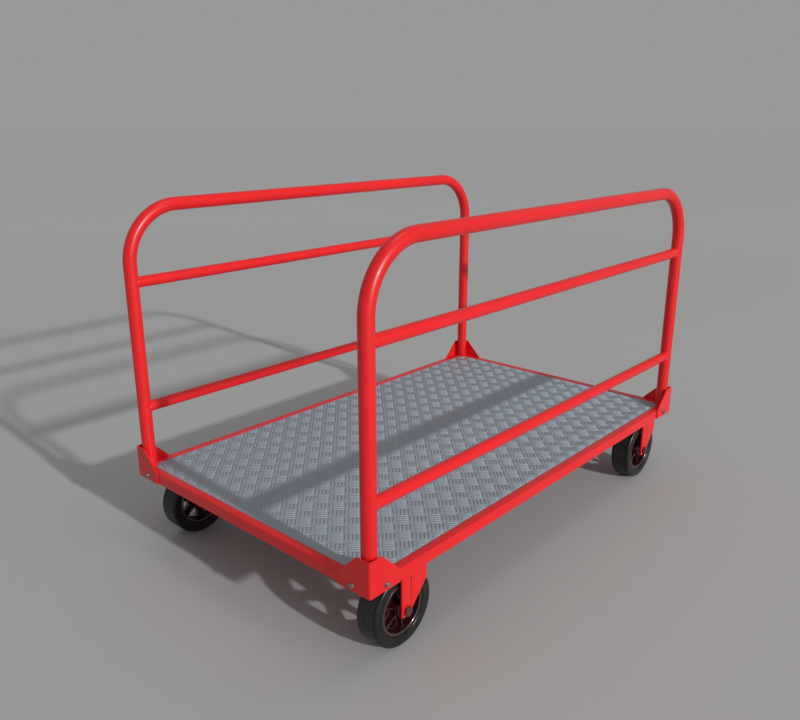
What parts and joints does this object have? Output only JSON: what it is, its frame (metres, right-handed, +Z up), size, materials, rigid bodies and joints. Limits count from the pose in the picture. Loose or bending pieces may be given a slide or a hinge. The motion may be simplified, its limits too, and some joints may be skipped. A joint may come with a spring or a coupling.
{
  "type": "flatbed platform truck",
  "caption": "Flatbed platform truck: steel box-section deck with tread plate, open ends, tube hoops with rails along both sides, and swivel castors with rubber tyres.",
  "frame": {"origin": "on the floor, under the middle of the deck frame", "axes": "+X along the truck towards its front, +Y to its left, +Z up"},
  "size_m": [1.2514, 0.7694, 0.806],
  "materials": {
    "red_frame_paint": "semi-gloss red powder coat",
    "red_fork_paint": "semi-gloss red powder coat on pressed steel",
    "tread_plate": "five-bar tread plate, worn satin",
    "zinc_fasteners": "bright zinc plated",
    "head_steel": "zinc plated pressed steel",
    "bearing_steel": "polished bearing steel",
    "axle_steel": "dark primed steel",
    "tyre_rubber": "solid black rubber, ribbed tread",
    "wheel_moulding": "glossy black-maroon moulding",
    "bush_plastic": "moulded nylon"
  },
  "bodies": {
    "frame": {"side_rail_left": "red_frame_paint", "side_rail_right": "red_frame_paint", "end_rail_front": "red_frame_paint", "end_rail_rear": "red_frame_paint", "cross_member_1": "red_frame_paint", "cross_member_2": "red_frame_paint", "cross_member_3": "red_frame_paint", "castor_bearer_front": "red_frame_paint", "castor_bearer_rear": "red_frame_paint", "hoop_left": "red_frame_paint", "hoop_right": "red_frame_paint", "upper_rail_left": "red_frame_paint", "upper_rail_right": "red_frame_paint", "lower_rail_left": "red_frame_paint", "lower_rail_right": "red_frame_paint", "deck_plate": "tread_plate", "bracket_bolts": "zinc_fasteners", "bracket_washers": "zinc_fasteners", "bracket_nuts": "zinc_fasteners", "castor_bolts": "zinc_fasteners", "castor_nuts": "zinc_fasteners", "kingpins": "head_steel", "corner_bracket_front_left": "red_frame_paint", "castor_plate_front_left": "head_steel", "corner_bracket_front_right": "red_frame_paint", "castor_plate_front_right": "head_steel", "corner_bracket_rear_left": "red_frame_paint", "castor_plate_rear_left": "head_steel", "corner_bracket_rear_right": "red_frame_paint", "castor_plate_rear_right": "head_steel"},
    "castor_front_left": {"fork_front_left": "red_fork_paint", "race_balls_front_left": "bearing_steel", "axle_bolt_front_left": "axle_steel", "axle_nut_front_left": "axle_steel"},
    "wheel_front_left": {"tyre_front_left": "tyre_rubber", "wheel_centre_front_left": "wheel_moulding", "axle_bush_front_left": "bush_plastic"},
    "castor_front_right": {"fork_front_right": "red_fork_paint", "race_balls_front_right": "bearing_steel", "axle_bolt_front_right": "axle_steel", "axle_nut_front_right": "axle_steel"},
    "wheel_front_right": {"tyre_front_right": "tyre_rubber", "wheel_centre_front_right": "wheel_moulding", "axle_bush_front_right": "bush_plastic"},
    "castor_rear_left": {"fork_rear_left": "red_fork_paint", "race_balls_rear_left": "bearing_steel", "axle_bolt_rear_left": "axle_steel", "axle_nut_rear_left": "axle_steel"},
    "wheel_rear_left": {"tyre_rear_left": "tyre_rubber", "wheel_centre_rear_left": "wheel_moulding", "axle_bush_rear_left": "bush_plastic"},
    "castor_rear_right": {"fork_rear_right": "red_fork_paint", "race_balls_rear_right": "bearing_steel", "axle_bolt_rear_right": "axle_steel", "axle_nut_rear_right": "axle_steel"},
    "wheel_rear_right": {"tyre_rear_right": "tyre_rubber", "wheel_centre_rear_right": "wheel_moulding", "axle_bush_rear_right": "bush_plastic"}
  },
  "joints": [
    {"name": "swivel_front_left", "type": "hinge", "parent": "frame", "child": "castor_front_left", "pos_m": [0.52573, 0.33, 0.165], "axis": [0, 0, 1], "continuous": true},
    {"name": "wheel_spin_front_left", "type": "hinge", "parent": "castor_front_left", "child": "wheel_front_left", "pos_m": [0.50373, 0.33, 0.08], "axis": [0, 1, 0], "continuous": true},
    {"name": "swivel_front_right", "type": "hinge", "parent": "frame", "child": "castor_front_right", "pos_m": [0.52573, -0.33, 0.165], "axis": [0, 0, 1], "continuous": true},
    {"name": "wheel_spin_front_right", "type": "hinge", "parent": "castor_front_right", "child": "wheel_front_right", "pos_m": [0.50373, -0.33, 0.08], "axis": [0, 1, 0], "continuous": true},
    {"name": "swivel_rear_left", "type": "hinge", "parent": "frame", "child": "castor_rear_left", "pos_m": [-0.48173, 0.33, 0.165], "axis": [0, 0, 1], "continuous": true},
    {"name": "wheel_spin_rear_left", "type": "hinge", "parent": "castor_rear_left", "child": "wheel_rear_left", "pos_m": [-0.50373, 0.33, 0.08], "axis": [0, 1, 0], "continuous": true},
    {"name": "swivel_rear_right", "type": "hinge", "parent": "frame", "child": "castor_rear_right", "pos_m": [-0.48173, -0.33, 0.165], "axis": [0, 0, 1], "continuous": true},
    {"name": "wheel_spin_rear_right", "type": "hinge", "parent": "castor_rear_right", "child": "wheel_rear_right", "pos_m": [-0.50373, -0.33, 0.08], "axis": [0, 1, 0], "continuous": true}
  ]
}
